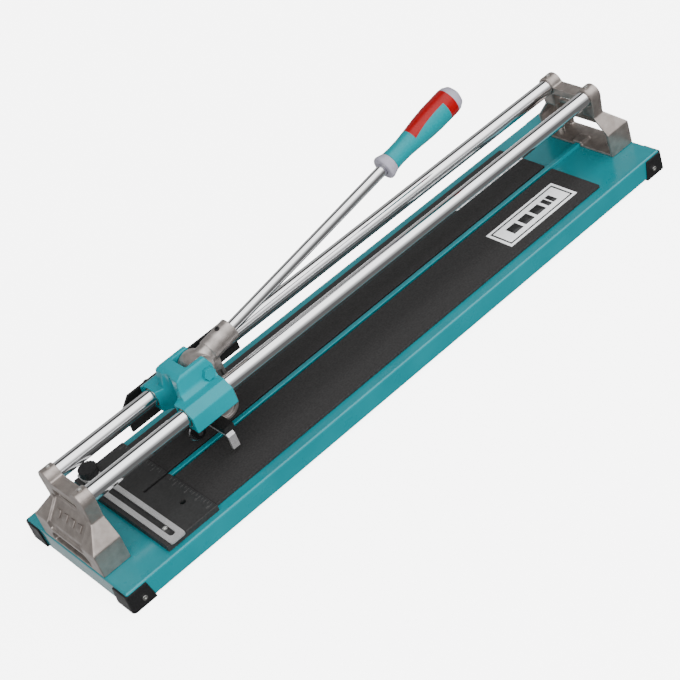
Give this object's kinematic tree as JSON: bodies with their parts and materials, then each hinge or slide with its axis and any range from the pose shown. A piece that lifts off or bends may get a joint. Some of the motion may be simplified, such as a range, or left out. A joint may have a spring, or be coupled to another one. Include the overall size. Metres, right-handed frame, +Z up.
{
  "type": "tile cutter",
  "caption": "Manual tile cutter: folded teal base, chromed rails between cast end brackets, sliding carriage with a long handle and breaker foot, fence with a slotted rail and knob",
  "frame": {"origin": "middle of the foot plane under the base, on the bench", "axes": "+X along the rails, away from the fence; +Y to the left; +Z up"},
  "size_m": [0.809, 0.1972, 0.2092],
  "materials": {
    "painted_pan": "satin",
    "cap_rubber": "matte",
    "bright_screw": "satin",
    "dark_screw": "satin",
    "bracket_cast": "satin",
    "rail_chrome": "polished",
    "fence_black": "satin",
    "zinc": "satin",
    "knob_plastic": "matte",
    "pad_foam": "matte",
    "label_film": "satin",
    "carriage_paint": "gloss",
    "bronze": "satin",
    "lever_cast": "matte",
    "grip_teal": "satin",
    "grip_red": "satin",
    "grip_pale": "satin",
    "wheel_carbide": "satin",
    "guard_black": "matte"
  },
  "bodies": {
    "frame": {"base_plate": "painted_pan", "corner_cap_fence_right": "cap_rubber", "corner_cap_fence_left": "cap_rubber", "corner_cap_far_right": "cap_rubber", "corner_cap_far_left": "cap_rubber", "cap_screws": "bright_screw", "fence_bracket": "bracket_cast", "far_bracket": "bracket_cast", "left_rail": "rail_chrome", "right_rail": "rail_chrome", "rail_set_screws": "bright_screw", "bracket_bolts": "bright_screw", "bracket_nuts": "bright_screw", "fence": "fence_black", "fence_screws": "dark_screw", "knob_stud": "bright_screw", "guide_pin": "bright_screw", "left_pad": "pad_foam", "right_pad": "pad_foam", "pad_label": "label_film"},
    "carriage": {"carriage_body": "carriage_paint", "rail_bushes": "bronze", "pivot_bolt": "carriage_paint", "pivot_nut": "carriage_paint", "side_guard": "guard_black", "guard_spacers": "bright_screw", "guard_screws": "dark_screw"},
    "lever_arm": {"lever": "lever_cast", "socket_screw": "dark_screw", "pivot_bush": "bronze", "handle_rod": "rail_chrome", "grip_collar": "grip_pale", "grip_body": "grip_teal", "grip_inlay": "grip_red", "grip_cap": "grip_pale", "wheel_holder": "dark_screw", "holder_screw": "dark_screw", "wheel_axle": "bright_screw", "foot_bar": "guard_black", "breaker_foot": "zinc", "foot_screw": "bright_screw"},
    "wheel": {"cutting_wheel": "wheel_carbide"},
    "guide_bar": {"slotted_rail": "zinc"},
    "knob": {"rail_knob": "knob_plastic", "knob_washer": "bright_screw"}
  },
  "joints": [
    {"name": "carriage_slide", "type": "slide", "parent": "frame", "child": "carriage", "axis": [1, 0, 0], "range_m": [-0.12, 0.5]},
    {"name": "lever_hinge", "type": "hinge", "parent": "carriage", "child": "lever_arm", "pos_m": [-0.195, 0, 0.121], "axis": [0, -1, 0], "range_deg": [0, 40]},
    {"name": "wheel_spin", "type": "hinge", "parent": "lever_arm", "child": "wheel", "pos_m": [-0.224, 0, 0.052], "axis": [0, 1, 0], "continuous": true},
    {"name": "slotted_rail_slide", "type": "slide", "parent": "frame", "child": "guide_bar", "axis": [0, 1, 0], "range_m": [-0.0045, 0.011]},
    {"name": "knob_turn", "type": "hinge", "parent": "frame", "child": "knob", "pos_m": [-0.3255, 0.072, 0.041], "axis": [0, 0, 1], "range_deg": [0, 360]}
  ]
}
